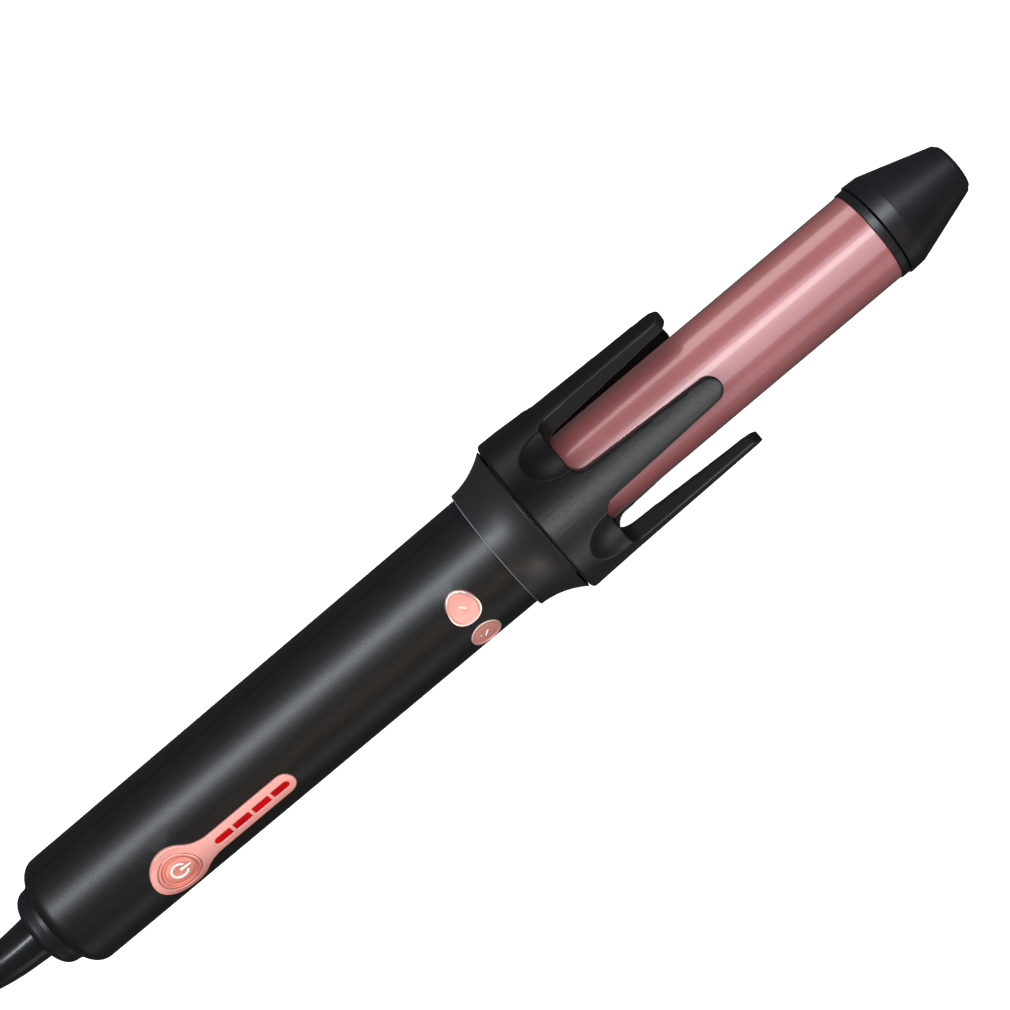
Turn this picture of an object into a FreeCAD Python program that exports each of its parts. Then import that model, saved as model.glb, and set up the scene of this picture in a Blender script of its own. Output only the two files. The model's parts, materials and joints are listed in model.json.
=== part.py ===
import FreeCAD, Part
import math
import os
import re
import Sketcher
from FreeCAD import Placement, Rotation, Vector

# Automatic hair curler, in millimetres.
# The tool is drawn along its own X axis: X = 0 is the rear face of the claw, +X runs to the tip,
# and +Z is the middle of the controls. Every sub-part is then laid on the table by one placement,
# with the control side rolled 40 degrees and the tip raised, because the claw is wider than the grip.

doc = FreeCAD.newDocument("hair_curler")
sheet = doc.addObject("Spreadsheet::Sheet", "Sizes")

SIZES = {
    # grip
    "grip_rear_dia": 34.7, "grip_front_dia": 35.8, "shell_wall": 2.0, "shell_front": -11.5,
    "shell_rear": -171.75, "grip_round": 4.4, "rib_place": -17.0,
    "seam_gap": 0.14, "seam_deep": 0.35,
    # flared collar
    "collar_rear": -13.5, "collar_front": -0.5, "collar_rear_dia": 38.4, "collar_front_dia": 47.8,
    "collar_sweep": 24.0,
    # claw
    "claw_dia": 50.1, "claw_tip_dia": 47.6, "claw_bore": 38.5, "claw_tip_bore": 41.4,
    "claw_length": 61.0, "claw_base": 16.2, "finger_count": 5, "finger_root": 10.4,
    "finger_tip": 7.5, "finger_root_round": 4.0, "scoop_radius": 14.0, "scoop_place": 15.4,
    "scoop_depth": 3.7, "claw_edge": 0.8, "finger_turn": 30.9,
    # barrel and cool tip
    "barrel_dia": 28.0, "barrel_wall": 1.0, "barrel_rear": 9.5, "barrel_front": 118.1,
    "ring_width": 2.5, "ring_dia": 28.7, "cap_rear_dia": 29.7, "cap_rear": 120.9,
    "cone_start": 125.6, "cone_dia": 29.2, "cap_front": 148.1, "cap_front_dia": 14.4,
    "cap_wall": 1.8, "cap_round": 1.5,
    # drive
    "stem_dia": 8.0, "stem_bore": 6.0, "tooth_module": 0.8, "ring_teeth": 33, "pinion_teeth": 10,
    "backlash": 0.12, "rim_rear": -8.5, "rim_dia": 32.0, "web_rear": -1.5, "web_front": 0.5,
    "hub_front": 6.0, "bush_dia": 12.0, "running_gap": 0.03, "shaft_dia": 3.0,
    "gearbox_front": -22.0, "gearbox_length": 9.0, "motor_length": 15.0, "motor_width": 12.0,
    "motor_height": 10.0,
    # controls
    "board_top": 10.0, "board_thick": 1.6, "board_width": 20.0, "board_rear": -148.0,
    "board_front": -24.5, "power_place": -134.2, "power_dia": 12.2, "bezel_dia": 16.6,
    "bezel_bar": 7.2, "bezel_end": -93.9, "bezel_proud": 0.6, "bezel_floor": 1.3,
    "neck_round": 11.0, "neck_place": 12.62,
    "window_first": -118.9, "window_pitch": 6.73, "window_long": 5.6, "window_wide": 2.3,
    "window_count": 4, "turn_place": -29.5, "turn_side": 6.06, "turn_long": 9.3,
    "turn_wide": 9.9, "turn_proud": 0.25, "hole_gap": 0.15, "switch_side": 6.0,
    "switch_tall": 3.5, "plunger_dia": 3.4, "plunger_top": 14.4, "press_travel": 0.6,
    # cord swivel
    "swivel_rear": -178.1, "swivel_dia": 25.2, "swivel_core": 12.5, "swivel_gap": 0.05,
    "tail_ring_rear": -173.2, "swivel_round": 2.8,
    # cord
    "relief_dia": 13.8, "relief_tip_dia": 8.4, "cord_dia": 6.0, "coil_inner": 27.0,
    "coil_turns": 3, "coil_layers": 3, "tie_thick": 0.6, "tie_wide": 12.0,
    "plug_long": 36.0, "plug_wide": 26.0, "plug_thick": 13.7, "pin_dia": 4.0, "pin_long": 19.0,
    "pin_spacing": 18.6,
}
for row, (word, number) in enumerate(SIZES.items(), 1):
    sheet.set(f"A{row}", word)
    sheet.set(f"B{row}", str(number))
    sheet.setAlias(f"B{row}", word)
doc.recompute()

parts = {}


def full(text):
    """The expression with each size's name led by the sheet's own."""
    return re.sub(r"[a-z_]+[a-z]", lambda m: "Sizes." + m[0] if m[0] in SIZES else m[0], str(text))


def value(text):
    """The number that an expression of sizes has now."""
    return float(sheet.evalExpression(full(text)))


# The tool rests on the rear edge of the claw and on the rear end of the grip.
claw_contact = value("claw_edge")
grip_contact = value("shell_rear + grip_round")
drop = value("(claw_dia - grip_rear_dia) / 2")
tilt = math.atan(drop / (claw_contact - grip_contact))
roll = 40.0
front_reach = value("cap_front") * math.cos(tilt) + 6.2 * math.sin(tilt)
rear_reach = value("swivel_rear") * math.cos(tilt) - 9.8 * math.sin(tilt)
centre_shift = -(front_reach + rear_reach) / 2
axis_height = value("claw_dia / 2") * math.cos(tilt) - claw_contact * math.sin(tilt)
turn = Rotation(Vector(0, 1, 0), -math.degrees(tilt)) * Rotation(Vector(1, 0, 0), roll)
lay = Placement(Vector(centre_shift, 0, axis_height), turn)


def origin_part(body, role):
    """One of a body's own planes or axes."""
    return next(f for f in body.Origin.OriginFeatures if f.Role == role)


def new_body(name):
    """An empty body for one sub-part, laid with the rest of the tool."""
    body = doc.addObject("PartDesign::Body", name)
    body.Label = name
    body.Placement = lay
    parts[name] = body
    return body


def draw(body, plane, loops, height="0"):
    """A sketch on a plane of the body. Each loop is a list of corners (across, up) or
    (across, up, radius), where radius bends the side that leaves the corner: to the left if it
    is positive and to the right if it is negative; or it is ("circle", across, up, radius)."""
    sketch = body.newObject("Sketcher::SketchObject", body.Name + "_sketch")
    sketch.AttachmentSupport = (origin_part(body, plane), [""])
    sketch.MapMode = "FlatFace"
    if height != "0":
        sketch.setExpression("AttachmentOffset.Base.z", full(height))
    fixed = 0

    def hold(kind, which, end, text):
        nonlocal fixed
        fixed += 1
        name = f"held{fixed}"
        index = sketch.addConstraint(Sketcher.Constraint(kind, -1, 1, which, end, value(text)))
        sketch.renameConstraint(index, name)
        sketch.setExpression("Constraints." + name, full(text))

    def hold_radius(which, text):
        nonlocal fixed
        fixed += 1
        name = f"held{fixed}"
        index = sketch.addConstraint(Sketcher.Constraint("Radius", which, value(text)))
        sketch.renameConstraint(index, name)
        sketch.setExpression("Constraints." + name, full(text))

    for loop in loops:
        if loop[0] == "circle":
            _, across, up, radius = loop
            circle = Part.Circle(Vector(value(across), value(up), 0), Vector(0, 0, 1), value(radius))
            which = sketch.addGeometry(circle, False)
            hold("DistanceX", which, 3, across)
            hold("DistanceY", which, 3, up)
            hold_radius(which, radius)
            continue
        spots = [Vector(value(c[0]), value(c[1]), 0) for c in loop]
        sides = []
        for i, corner in enumerate(loop):
            start, end = spots[i], spots[(i + 1) % len(loop)]
            if len(corner) == 2:
                sides.append((sketch.addGeometry(Part.LineSegment(start, end), False), 1, 2))
                continue
            bend = corner[2]
            radius = abs(value(bend))
            left = value(bend) > 0
            chord = end - start
            half = chord.Length / 2
            rise = radius - math.sqrt(max(radius**2 - half**2, 0))
            side = Vector(-chord.y, chord.x, 0).normalize() * (-rise if left else rise)
            middle = (start + end) / 2 + side
            arc = Part.Arc(start, middle, end) if left else Part.Arc(end, middle, start)
            which = sketch.addGeometry(arc, False)
            sides.append((which, 1, 2) if left else (which, 2, 1))
            hold_radius(which, f"abs({bend})")
        for i, (which, first, last) in enumerate(sides):
            after, begin, _ = sides[(i + 1) % len(sides)]
            sketch.addConstraint(Sketcher.Constraint("Coincident", which, last, after, begin))
            hold("DistanceX", which, first, loop[i][0])
            hold("DistanceY", which, first, loop[i][1])
    return sketch


def spin(body, loops, angle=360, cut=False):
    """A profile of (along, radius) corners, spun about the tool's axis. Less than a whole turn
    is spun evenly to both sides of +Z."""
    sketch = draw(body, "XZ_Plane", loops)
    kind = "PartDesign::Groove" if cut else "PartDesign::Revolution"
    feature = body.newObject(kind, body.Name + "_spin")
    feature.Profile = sketch
    feature.ReferenceAxis = (sketch, ["H_Axis"])
    feature.Angle = angle
    feature.Midplane = angle < 360
    return feature


def pad(body, plane, loops, bottom, top):
    """An outline raised from one height over its plane to another."""
    feature = body.newObject("PartDesign::Pad", body.Name + "_pad")
    feature.Profile = draw(body, plane, loops, bottom)
    feature.setExpression("Length", full(f"{top} - ({bottom})"))
    return feature


def pocket(body, plane, loops, bottom="0", top=None):
    """An outline cut upward from a height over its plane, to another height or right through."""
    feature = body.newObject("PartDesign::Pocket", body.Name + "_pocket")
    feature.Profile = draw(body, plane, loops, bottom)
    feature.Reversed = True
    if top is None:
        feature.Type = 1
    else:
        feature.setExpression("Length", full(f"{top} - ({bottom})"))
    return feature


def repeat(body, feature, count):
    """Copies of a feature round the tool's axis."""
    pattern = body.newObject("PartDesign::PolarPattern", body.Name + "_ring")
    pattern.Originals = [feature]
    pattern.Axis = (origin_part(body, "X_Axis"), [""])
    pattern.Angle = 360
    pattern.setExpression("Occurrences", full(count))
    body.Tip = pattern
    return pattern


def box(x0, x1, y0, y1, z0, z1):
    """A rectangle's four corners for draw, and its two heights."""
    return [[(x0, y0), (x1, y0), (x1, y1), (x0, y1)]], z0, z1


def block(name, x0, x1, y0, y1, z0, z1):
    """A plain rectangular sub-part."""
    body = new_body(name)
    loops, bottom, top = box(x0, x1, y0, y1, z0, z1)
    pad(body, "XY_Plane", loops, bottom, top)
    return body


def ring(name, x0, x1, inner, outer):
    """A plain ring or rod about the tool's axis."""
    body = new_body(name)
    spin(body, [[(x0, inner), (x1, inner), (x1, outer), (x0, outer)]])
    return body


# --- grip shells ---------------------------------------------------------------------------

GRIP_SLOPE = "(grip_front_dia - grip_rear_dia) / 2 / (shell_front - shell_rear - grip_round)"
INNER_SLOPE = "(grip_front_dia - grip_rear_dia) / 2 / (shell_front - shell_rear - shell_wall - 1.6)"
RIB_WALL = f"grip_front_dia / 2 - shell_wall - (shell_front - rib_place) * ({INNER_SLOPE})"
SHELL = [
    ("shell_front", "grip_front_dia / 2 - shell_wall"),
    ("shell_front", "grip_front_dia / 2"),
    ("shell_rear + grip_round", "grip_rear_dia / 2", "grip_round"),
    ("shell_rear", "grip_rear_dia / 2 - grip_round"),
    ("shell_rear", "10.5"),
    ("shell_rear + shell_wall", "10.5"),
    ("shell_rear + shell_wall", "grip_rear_dia / 2 - shell_wall - 1.6"),
    ("shell_rear + shell_wall + 1.6", "grip_rear_dia / 2 - shell_wall"),
    ("rib_place - 0.5", RIB_WALL), ("rib_place - 0.5", "14.8"),
    ("rib_place + 0.5", "14.8"), ("rib_place + 0.5", RIB_WALL),
]
SCREW_PLACES = ("-155", "-56")
BOARD_SCREWS = ("-86", "-42")


def grip_radius(along):
    """The grip's outer radius at a place along it, as an expression."""
    return f"grip_rear_dia / 2 + ({along} - shell_rear - grip_round) * ({GRIP_SLOPE})"


def spoon(gap):
    """The bezel's outline: a disc round the power button that runs into a round-ended bar.
    gap widens it all round."""
    disc = f"bezel_dia / 2 + {gap}"
    bar = f"bezel_bar / 2 + {gap}"
    # The disc hands over to the round of the neck 49.2 degrees off the tool's axis.
    rise = f"({disc}) * 0.757"
    reach = f"power_place + ({disc}) * 0.6534"
    neck = "power_place + neck_place"
    hollow = f"-(neck_round - {gap})"
    end = "bezel_end - bezel_bar / 2"
    return [
        (reach, f"-({rise})", hollow),
        (neck, f"-({bar})"),
        (end, f"-({bar})", f"{bar}"),
        (f"bezel_end + {gap}", "0", f"{bar}"),
        (end, bar),
        (neck, bar, hollow),
        (reach, rise, disc),
        (f"power_place - ({disc})", "0", disc),
    ]


def windows(gap):
    """The outlines of the indicator windows."""
    loops = []
    for i in range(SIZES["window_count"]):
        middle = f"window_first + {i} * window_pitch"
        half, side = f"(window_long / 2 + {gap})", f"(window_wide / 2 + {gap})"
        loops.append([
            (f"{middle} - {half}", f"-{side}"), (f"{middle} + {half}", f"-{side}"),
            (f"{middle} + {half}", side), (f"{middle} - {half}", side),
        ])
    return loops


def egg(side, gap):
    """The outline of a turn button on the left (1) or right (-1): broad beside its twin and
    narrower outward."""
    inner = f"({side} * (turn_side - turn_wide / 2 - {gap}))"
    outer = f"({side} * (turn_side + turn_wide / 2 + {gap}))"
    middle = f"({side} * (turn_side - 0.7))"
    half = f"(turn_long / 2 + {gap})"
    bend = f"{side} * {half} * 1.06"
    return [
        (f"turn_place - {half}", middle, bend), ("turn_place", inner, bend),
        (f"turn_place + {half}", middle, bend), ("turn_place", outer, bend),
    ]


def seam(side):
    """The outline of the shallow step along a shell's edge, on the left (1) or right (-1)."""
    rear, corner = "shell_rear + seam_deep", "shell_rear + grip_round"
    low = f"{side} * (grip_rear_dia / 2 - grip_round)"
    return [
        (rear, low, f"-({side}) * (grip_round - seam_deep)"),
        (corner, f"{side} * (grip_rear_dia / 2 - seam_deep)"),
        ("shell_front", f"{side} * (grip_front_dia / 2 - seam_deep)"),
        ("shell_front", f"{side} * 25"), ("shell_rear - 1", f"{side} * 25"),
        ("shell_rear - 1", low),
    ]


def front_shell():
    body = new_body("front_shell")
    spin(body, [SHELL], 180)
    pocket(body, "XY_Plane", [seam("1"), seam("-1")], "0", "seam_gap")
    pocket(body, "XY_Plane", [spoon("0.08")])
    floor_top = f"{grip_radius('power_place')} - bezel_floor"
    spin(body, [[
        ("power_place - 10", "grip_rear_dia / 2 - shell_wall"),
        ("bezel_end + 2", "grip_rear_dia / 2 - shell_wall"),
        ("bezel_end + 2", floor_top), ("power_place - 10", floor_top),
    ]], 110)
    pocket(body, "XY_Plane", [("circle", "power_place", "0", "power_dia / 2 + hole_gap")])
    pocket(body, "XY_Plane", windows("0.05"))
    pocket(body, "XY_Plane", [egg(1, "hole_gap"), egg(-1, "hole_gap")])
    for place in SCREW_PLACES:
        pad(body, "XY_Plane", [("circle", place, "0", "2.6")], "0.05", "16")
        pocket(body, "XY_Plane", [("circle", place, "0", "1.0")], "0.05", "8")
    for place in BOARD_SCREWS:
        pad(body, "XY_Plane", [("circle", place, "0", "2.4")], "board_top", "16")
        pocket(body, "XY_Plane", [("circle", place, "0", "0.9")], "board_top", "14")


def rear_shell():
    body = new_body("rear_shell")
    spin(body, [SHELL], 180)
    pocket(body, "XY_Plane", [seam("1"), seam("-1")], "0", "seam_gap")
    for place in SCREW_PLACES:
        pad(body, "XY_Plane", [("circle", place, "0", "3.4")], "0.05", "16")
        pocket(body, "XY_Plane", [("circle", place, "0", "1.3")], "0")
        pocket(body, "XY_Plane", [("circle", place, "0", "2.2")], "6")
    # The rear half is the front half's mould turned over.
    body.Placement = lay.multiply(Placement(Vector(), Rotation(Vector(1, 0, 0), 180)))


front_shell()
rear_shell()

for number, place in enumerate(SCREW_PLACES, 1):
    screw = new_body(f"shell_screw_{number}")
    pad(screw, "XY_Plane", [("circle", place, "0", "1.0")], "-6", "7")
    pad(screw, "XY_Plane", [("circle", place, "0", "2.0")], "-7.6", "-6")
for number, place in enumerate(BOARD_SCREWS, 1):
    screw = new_body(f"board_screw_{number}")
    pad(screw, "XY_Plane", [("circle", place, "0", "0.9")], "board_top - board_thick - 0.5", "13.5")
    pad(screw, "XY_Plane", [("circle", place, "0", "1.9")],
        "board_top - board_thick - 1.5", "board_top - board_thick")


# --- collar, tail ring and swivel ------------------------------------------------------------


def collar():
    body = new_body("collar")
    spin(body, [[
        ("collar_rear", "collar_rear_dia / 2", "collar_sweep"),
        ("collar_front", "collar_front_dia / 2"),
        ("collar_front", "collar_front_dia / 2 - 1.6"),
        ("-3.0", "20.6"), ("-9.4", "18.6"), ("-9.4", "13.0"),
        ("shell_front + 0.1", "13.0"),
        ("shell_front + 0.1", "grip_front_dia / 2 + 0.05"),
        ("collar_rear", "grip_front_dia / 2 + 0.05"),
    ]])


def swivel_housing():
    body = new_body("swivel_housing")
    inside = "shell_rear + shell_wall + 0.05"
    spin(body, [[
        ("tail_ring_rear", "swivel_core / 2 + swivel_gap"), ("tail_ring_rear", "12.9"),
        ("shell_rear", "12.9"), ("shell_rear", "10.45"), (inside, "10.45"), (inside, "13.0"),
        (f"{inside} + 1.5", "13.0"), (f"{inside} + 1.5", "swivel_core / 2 + swivel_gap"),
    ]])


def swivel_head():
    body = new_body("swivel_head")
    spin(body, [[
        ("swivel_rear", "0"), ("-160.5", "0"), ("-160.5", "4.0"), ("-168.1", "4.0"),
        ("-168.1", "swivel_core / 2"), ("tail_ring_rear - swivel_gap", "swivel_core / 2"),
        ("tail_ring_rear - swivel_gap", "swivel_dia / 2"),
        ("swivel_rear + swivel_round", "swivel_dia / 2 - 0.4", "swivel_round"),
        ("swivel_rear", "swivel_dia / 2 - 0.4 - swivel_round"),
    ]])


SLIP_BANDS = (("-167.0", "-165.5"), ("-163.5", "-162.0"))


def slip_drum():
    body = ring("slip_drum", "-168.1", "-160.5", "4.0", "7.6")
    for rear, front in SLIP_BANDS:
        spin(body, [[(rear, "7.0"), (front, "7.0"), (front, "8.0"), (rear, "8.0")]])


def brush_block():
    body = block("brush_block", "-167.5", "-158", "-4", "4", "board_top", "board_top + 3.5")
    for rear, front in SLIP_BANDS:
        loops, bottom, top = box(rear, front, "-1", "1", "8.1", "board_top + 1")
        pad(body, "XY_Plane", loops, bottom, top)


collar()
swivel_housing()
swivel_head()
slip_drum()
brush_block()

# --- bulkhead, stem and barrel -----------------------------------------------------------------

DRIVE_DROP = "tooth_module * (ring_teeth - pinion_teeth) / 2"


def bulkhead():
    body = new_body("bulkhead")
    rim = "grip_front_dia / 2 - shell_wall - 0.2"
    spin(body, [[
        ("gearbox_front", "stem_dia / 2"), ("shell_front - 0.05", "stem_dia / 2"),
        ("shell_front - 0.05", rim), ("rib_place + 0.55", rim), ("rib_place + 0.55", "14.75"),
        ("rib_place - 0.55", "14.75"), ("rib_place - 0.55", rim), ("gearbox_front", rim),
    ]])
    hole = ("circle", "0", f"-({DRIVE_DROP})", "shaft_dia / 2 + 0.2")
    pocket(body, "YZ_Plane", [hole], "gearbox_front")


def barrel_base():
    body = new_body("barrel_base")
    inner = "barrel_dia / 2 - barrel_wall"
    spin(body, [[
        ("barrel_rear - 1.5", "stem_dia / 2"), ("barrel_rear - 1.5", "barrel_dia / 2"),
        ("barrel_rear", "barrel_dia / 2"), ("barrel_rear", inner), ("18", inner), ("18", "11"),
        ("11", "11"), ("11", "6.5"), ("16", "6.5"), ("16", "stem_dia / 2"),
    ]])


def tip_mount():
    body = new_body("tip_mount")
    inner = "barrel_dia / 2 - barrel_wall"
    spin(body, [[
        ("barrel_front - 10", "7.5"), ("barrel_front - 10", inner), ("barrel_front", inner),
        ("barrel_front", "10"), ("cap_rear + 3.5", "10"), ("cap_rear + 3.5", "7.5"),
    ]])


def tip_cap():
    body = new_body("tip_cap")
    spin(body, [[
        ("cap_rear", "10.05"), ("cap_rear", "cap_rear_dia / 2"), ("cone_start", "cone_dia / 2"),
        ("cap_front - 1.2", "cap_front_dia / 2 + 0.4", "-cap_round"),
        ("cap_front", "cap_front_dia / 2 - 1.0"), ("cap_front", "0"), ("cap_front - cap_wall", "0"),
        ("cap_front - cap_wall", "5.2"), ("cone_start + 1.5", "12.2"), ("cap_rear + 3.6", "12.2"),
        ("cap_rear + 3.6", "10.05"),
    ]])


bulkhead()
ring("stem", "gearbox_front", "16", "stem_bore / 2", "stem_dia / 2")
ring("stem_clip", "hub_front + 0.1", "hub_front + 0.9", "stem_dia / 2", "stem_dia / 2 + 1.6")
barrel_base()
ring("barrel", "barrel_rear", "barrel_front", "barrel_dia / 2 - barrel_wall", "barrel_dia / 2")
tip_mount()
ring("tip_ring", "barrel_front", "barrel_front + ring_width", "10", "ring_dia / 2")
tip_cap()

# --- heater --------------------------------------------------------------------------------------


def heat_spreader(name, side):
    """Half of the clamp that carries the heat from the plate to the barrel."""
    body = new_body(name)
    flat = f"{side} * 0.9"
    reach = math.sqrt((value("barrel_dia / 2 - barrel_wall") - 0.05) ** 2 - 0.9**2)
    bend = f"{side} * (barrel_dia / 2 - barrel_wall - 0.05)"
    pad(body, "YZ_Plane", [[(f"-{reach}", flat), (f"{reach}", flat, bend)]], "30", "105")


block("heater_plate", "30", "105", "-9", "9", "-0.85", "0.85")
heat_spreader("heat_spreader_upper", 1)
heat_spreader("heat_spreader_lower", -1)
fuse = new_body("thermal_fuse")
pad(fuse, "YZ_Plane", [("circle", "0", "4.5", "1.8")], "21", "29.95")

# --- motor, gearbox and their gears ------------------------------------------------------------------


def motor():
    body = new_body("motor")
    rear = "gearbox_front - gearbox_length - motor_length"
    tall, wide = "motor_height / 2", "motor_width / 2"
    flat = math.sqrt(value(wide) ** 2 - value(tall) ** 2)
    low, high = f"-({DRIVE_DROP}) - {tall}", f"-({DRIVE_DROP}) + {tall}"
    can = [(f"-{flat}", low), (f"{flat}", low, wide), (f"{flat}", high), (f"-{flat}", high, wide)]
    pad(body, "YZ_Plane", [can], rear, "gearbox_front - gearbox_length")
    pad(body, "YZ_Plane", [("circle", "0", f"-({DRIVE_DROP})", "2.5")], f"{rear} - 1.4", rear)


motor()
block("gearbox", "gearbox_front - gearbox_length", "gearbox_front", "-motor_width / 2",
      "motor_width / 2", f"-({DRIVE_DROP}) - motor_height / 2", f"-({DRIVE_DROP}) + motor_height / 2")
shaft = new_body("gearbox_shaft")
pad(shaft, "YZ_Plane", [("circle", "0", f"-({DRIVE_DROP})", "shaft_dia / 2")], "gearbox_front", "-3.4")

PRESSURE = math.radians(25)


def involute(angle):
    return math.tan(angle) - angle


def flank(teeth, radius, slack):
    """Half the angle between an outward tooth's flanks at a radius."""
    pitch = value("tooth_module") * teeth / 2
    base = pitch * math.cos(PRESSURE)
    here = math.acos(min(1.0, base / radius))
    return math.pi / 2 / teeth + slack / pitch + involute(PRESSURE) - involute(here)


def bend_through(a, b, c):
    """The radius of the circle through three points, and whether it turns left (1) or right (-1)."""
    left = (b - a).cross(c - b).z
    size = (b - a).Length * (c - b).Length * (c - a).Length / (2 * abs(left))
    return math.copysign(size, left)


def polar(radius, angle):
    return Vector(radius * math.sin(angle), radius * math.cos(angle), 0)


def tooth(angle_at, low, middle, high):
    """A tooth that points up: its corners at a low and a high radius, with bent flanks."""
    left = [polar(r, -angle_at(r)) for r in (low, middle, high)]
    right = [polar(r, angle_at(r)) for r in (low, middle, high)]
    rising = bend_through(right[0], right[1], right[2])
    falling = bend_through(left[2], left[1], left[0])
    return [
        (str(right[0].x), str(right[0].y), str(rising)), (str(right[2].x), str(right[2].y)),
        (str(left[2].x), str(left[2].y), str(falling)), (str(left[0].x), str(left[0].y)),
    ]


def drive_pinion():
    body = new_body("drive_pinion")
    body.Placement = lay.multiply(Placement(Vector(0, 0, -value(DRIVE_DROP)), Rotation()))
    teeth = SIZES["pinion_teeth"]
    pitch = value("tooth_module * pinion_teeth / 2")
    slack = -value("backlash") / 4
    rear, front = "rim_rear + 0.5", "web_rear - 1.7"
    spin(body, [[(rear, "shaft_dia / 2"), (front, "shaft_dia / 2"), (front, "3.2"), (rear, "3.2")]])
    base = pitch * math.cos(PRESSURE) + 0.005
    outline = tooth(lambda r: flank(teeth, r, slack), base, (base + 4.75) / 2, 4.75)
    foot = [(str(polar(2.9, s * flank(teeth, base, slack)).x), str(2.9)) for s in (-1, 1)]
    repeat(body, pad(body, "YZ_Plane", [outline + foot], rear, front), "pinion_teeth")


def rotor_hub():
    body = new_body("rotor_hub")
    teeth = SIZES["ring_teeth"]
    slack = value("backlash") / 4
    root = 14.15
    spin(body, [[
        ("rim_rear", f"{root}"), ("web_rear", f"{root}"), ("web_rear", "8.2"), ("-2.8", "8.2"),
        ("-2.8", "bush_dia / 2"), ("hub_front", "bush_dia / 2"), ("hub_front", "8.2"),
        ("web_front", "8.2"), ("web_front", "19.0"), ("web_rear", "19.0"),
        ("web_rear", "rim_dia / 2"), ("rim_rear", "rim_dia / 2"),
    ]])
    outline = tooth(lambda r: math.pi / teeth - flank(teeth, r, slack), 12.6, 13.35, root + 0.1)
    repeat(body, pad(body, "YZ_Plane", [outline], "rim_rear", "web_rear"), "ring_teeth")
    hole = ("circle", "0", "17.4", "0.8")
    repeat(body, pocket(body, "YZ_Plane", [hole], "web_rear - 0.1", "web_front + 0.1"), "3")


drive_pinion()
rotor_hub()
ring("hub_bush", "-2.8", "hub_front", "stem_dia / 2 + running_gap", "bush_dia / 2")

# --- claw ------------------------------------------------------------------------------------------


def finger():
    """A finger's outline seen from outside: it flares into the base and ends in a round tip."""
    root, half_tip = "finger_root / 2", "finger_tip / 2"
    flare = f"{root} + finger_root_round"
    return [
        ("claw_base - 6", f"-({flare})"), ("claw_base", f"-({flare})", "-finger_root_round"),
        ("claw_base + finger_root_round", f"-({root})"),
        (f"claw_length - {half_tip}", f"-({half_tip})", half_tip), ("claw_length", "0", half_tip),
        (f"claw_length - {half_tip}", half_tip),
        ("claw_base + finger_root_round", root, "-finger_root_round"),
        ("claw_base", flare), ("claw_base - 6", flare),
    ]


def claw():
    body = new_body("claw")
    first_finger = Rotation(Vector(1, 0, 0), -value("finger_turn"))
    body.Placement = lay.multiply(Placement(Vector(), first_finger))
    outer, bore = "claw_dia / 2", "claw_bore / 2"
    spin(body, [[
        ("0", "19.1"), ("0", f"{outer} - claw_edge"), ("claw_edge", outer),
        ("claw_base", "claw_dia / 2 - 0.45"), ("claw_base", bore), ("3", bore), ("3", "14.9"),
        ("0.6", "14.9"), ("0.6", "19.1"),
    ]])
    repeat(body, pad(body, "XY_Plane", [finger()], "15", "26"), "finger_count")
    past = "claw_length + 5"
    spin(body, [[
        ("claw_edge", outer), ("claw_base", f"{outer} - 0.45"), (past, "claw_tip_dia / 2 - 0.05"),
        (past, "40"), ("claw_edge", "40"),
    ]], cut=True)
    spin(body, [[
        ("3", "0"), (past, "0"), (past, "claw_tip_bore / 2 + 0.1"), ("claw_base", bore), ("3", bore),
    ]], cut=True)
    # The screw holes keep the rotor hub's places, which are not turned with the fingers.
    hole = ("circle", "-17.4 * sin(finger_turn)", "17.4 * cos(finger_turn)", "0.8")
    screws = pocket(body, "YZ_Plane", [hole], "0.5", "2.7")
    repeat(body, screws, "3")
    scoop = body.newObject("PartDesign::SubtractiveSphere", "claw_scoop")
    scoop.setExpression("Radius", full("scoop_radius"))
    middle = math.pi / value("finger_count")
    lift = value("claw_dia / 2 - scoop_depth + scoop_radius")
    scoop.AttachmentOffset = Placement(
        Vector(value("scoop_place"), lift * math.sin(middle), lift * math.cos(middle)), Rotation())
    scoop.Placement = scoop.AttachmentOffset
    repeat(body, scoop, "finger_count")


claw()
for number in range(3):
    screw = new_body(f"hub_screw_{number + 1}")
    screw.Placement = lay.multiply(Placement(Vector(), Rotation(Vector(1, 0, 0), 120 * number)))
    pad(screw, "YZ_Plane", [("circle", "0", "17.4", "0.8")], "web_rear", "2.6")
    pad(screw, "YZ_Plane", [("circle", "0", "17.4", "1.3")], "web_rear - 1.1", "web_rear")

# --- controls --------------------------------------------------------------------------------------


def circuit_board():
    half = "board_width / 2"
    body = block("circuit_board", "-161", "board_front", f"-{half}", half,
                 "board_top - board_thick", "board_top")
    for place in SCREW_PLACES:
        pocket(body, "XY_Plane", [("circle", place, "0", "3.0")])
    for place in BOARD_SCREWS:
        pocket(body, "XY_Plane", [("circle", place, "0", "1.1")])


def skin(along_rear, along_front, proud):
    """The space outside the grip's surface, from one place along it to another."""
    return [
        (along_rear, f"{grip_radius(along_rear)} + {proud}"),
        (along_front, f"{grip_radius(along_front)} + {proud}"),
        (along_front, "30"), (along_rear, "30"),
    ]


def bezel():
    body = new_body("bezel")
    rear, front = "power_place - 9", "bezel_end + 1"
    floor_top = f"{grip_radius('power_place')} - bezel_floor + 0.02"
    spin(body, [[
        (rear, floor_top), (front, floor_top), (front, f"{grip_radius(front)} + bezel_proud"),
        (rear, f"{grip_radius(rear)} + bezel_proud"),
    ]], 110)
    around = [("-150", "-20"), ("-80", "-20"), ("-80", "20"), ("-150", "20")]
    pocket(body, "XY_Plane", [around, spoon("0")])
    pocket(body, "XY_Plane", [("circle", "power_place", "0", "power_dia / 2 + hole_gap")])
    pocket(body, "XY_Plane", windows("0.05"))


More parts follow.
